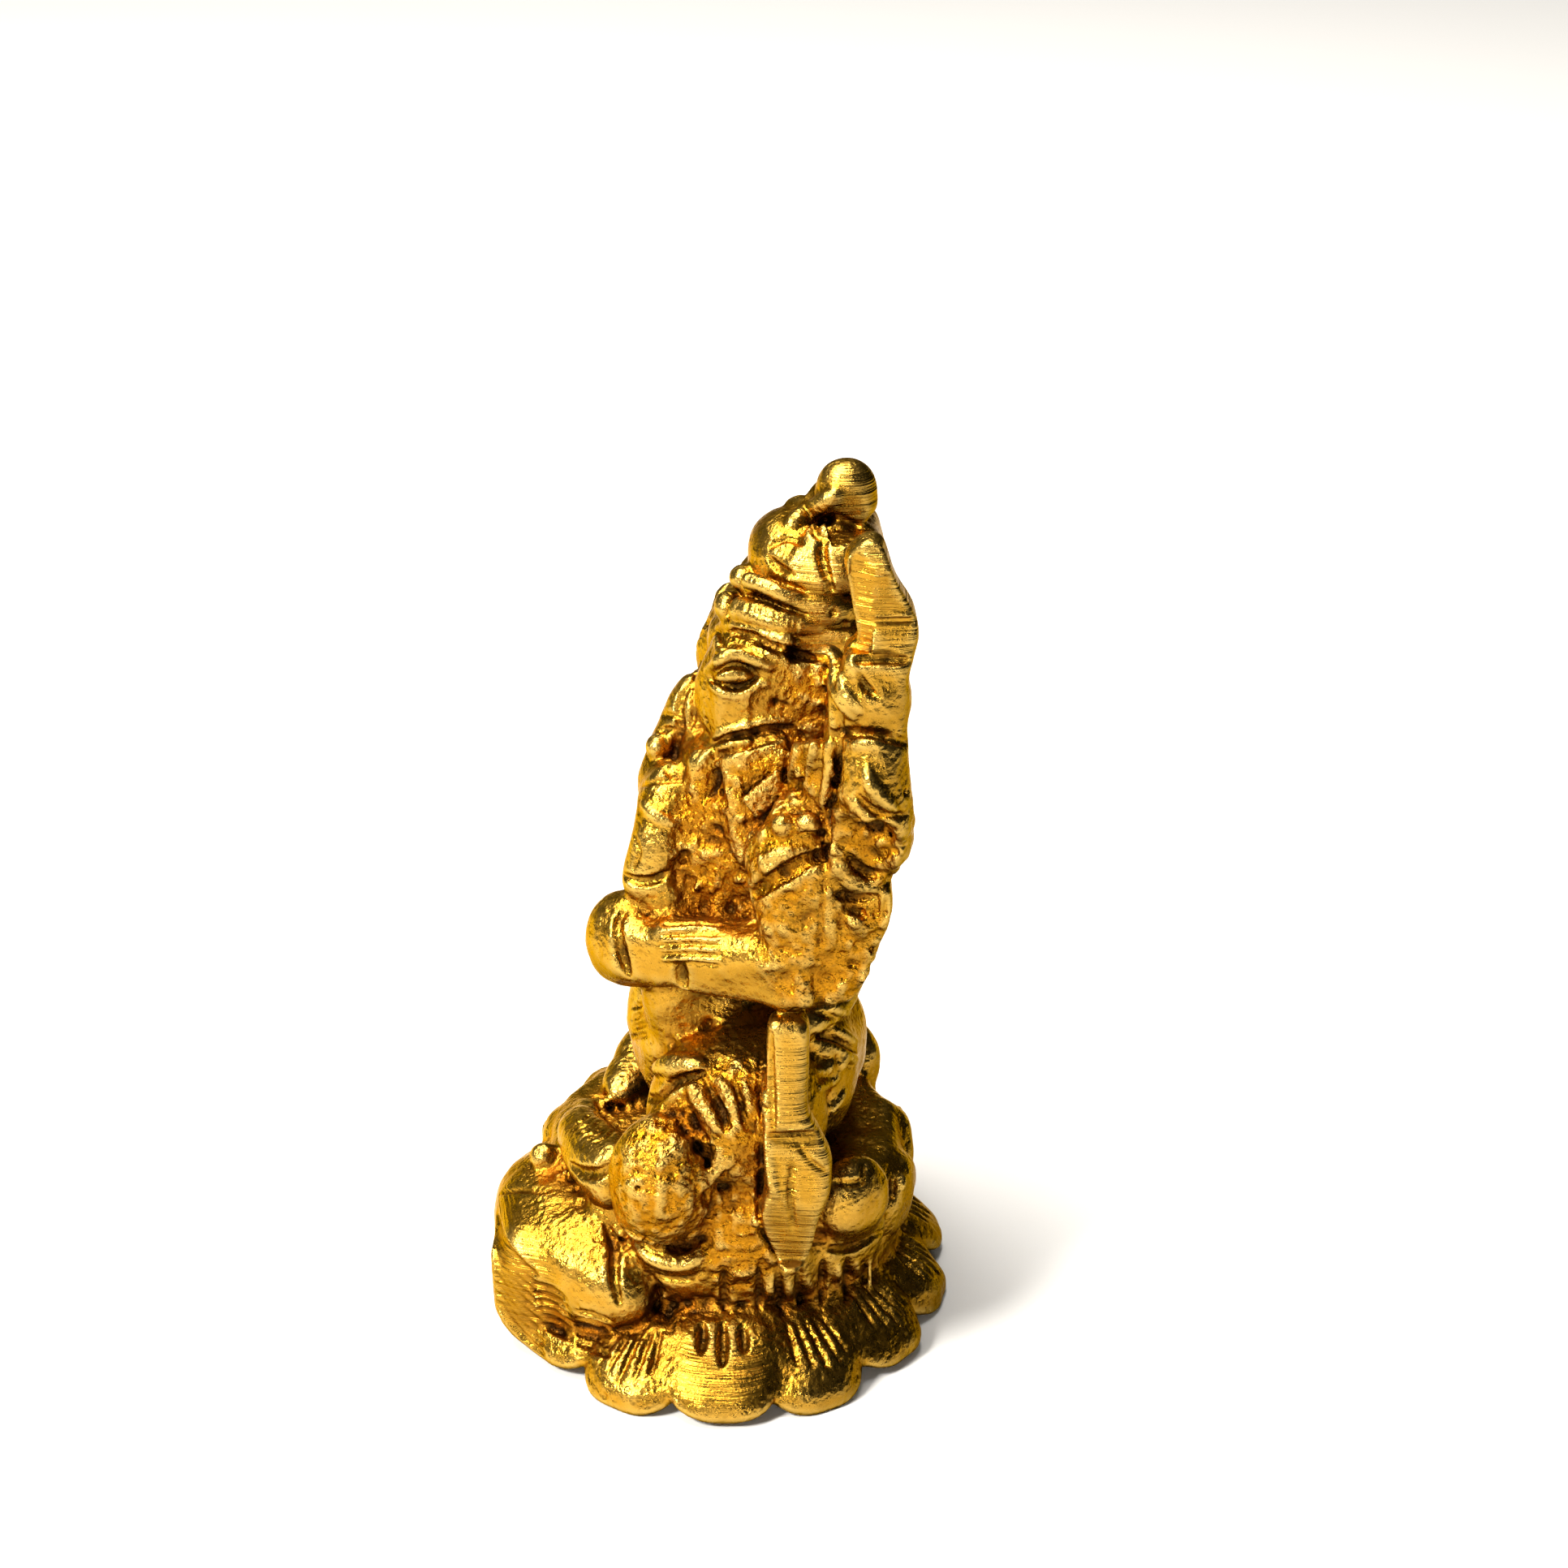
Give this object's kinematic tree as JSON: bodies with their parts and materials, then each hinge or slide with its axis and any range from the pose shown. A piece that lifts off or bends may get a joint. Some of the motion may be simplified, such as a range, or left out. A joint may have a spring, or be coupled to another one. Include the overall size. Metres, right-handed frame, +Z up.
{
  "type": "deity statuette",
  "caption": "Small solid brass statuette of a seated elephant-headed deity with raised rear arms, on a double lotus base with a mouse at the front.",
  "frame": {"origin": "centre of the flat underside of the base", "axes": "+Z up, -Y the way the figure looks, +X the figure's left hand side"},
  "size_m": [0.0384, 0.0306, 0.0582],
  "materials": {
    "brass_bright": "filed bright, with fine file marks",
    "brass_dark": "as cast, pitted, dark patina in the grooves"
  },
  "bodies": {
    "root": {"base_plate": "brass_dark", "mouse_body": "brass_bright", "mouse_head": "brass_bright", "lotus_seat": "brass_dark", "lower_petal_01": "brass_bright", "lower_petal_02": "brass_bright", "lower_petal_03": "brass_bright", "lower_petal_04": "brass_bright", "lower_petal_05": "brass_bright", "lower_petal_06": "brass_bright", "lower_petal_07": "brass_bright", "lower_petal_08": "brass_bright", "lower_petal_09": "brass_bright", "lower_petal_10": "brass_bright", "lower_petal_11": "brass_bright", "lower_petal_12": "brass_bright", "lower_petal_13": "brass_bright", "lower_petal_14": "brass_bright", "left_sash": "brass_bright", "right_sash": "brass_bright", "left_knee": "brass_dark", "right_knee": "brass_dark", "left_skirt": "brass_dark", "right_skirt": "brass_dark", "left_thigh": "brass_dark", "right_thigh": "brass_dark", "left_foot": "brass_dark", "left_shin": "brass_dark", "right_shin": "brass_dark", "sweet_ball": "brass_bright", "left_hand": "brass_dark", "trunk": "brass_bright", "left_tusk": "brass_dark", "right_tusk": "brass_dark", "crown_finial": "brass_bright", "crown_jewel": "brass_bright", "crown_upper_band": "brass_bright", "crown_lower_band": "brass_bright", "crown_dome": "brass_bright", "head": "brass_dark", "left_ear": "brass_dark", "right_ear": "brass_dark", "front_left_forearm": "brass_dark", "front_right_forearm": "brass_dark", "right_hand": "brass_dark", "axe": "brass_bright", "noose": "brass_bright", "rear_left_hand": "brass_dark", "rear_right_hand": "brass_dark", "front_left_upper_arm": "brass_dark", "front_right_upper_arm": "brass_dark", "rear_left_arm": "brass_dark", "rear_right_arm": "brass_dark", "left_shawl": "brass_dark", "right_shawl": "brass_dark", "waist_belt": "brass_dark", "necklace": "brass_dark", "torso": "brass_dark"}
  },
  "joints": []
}
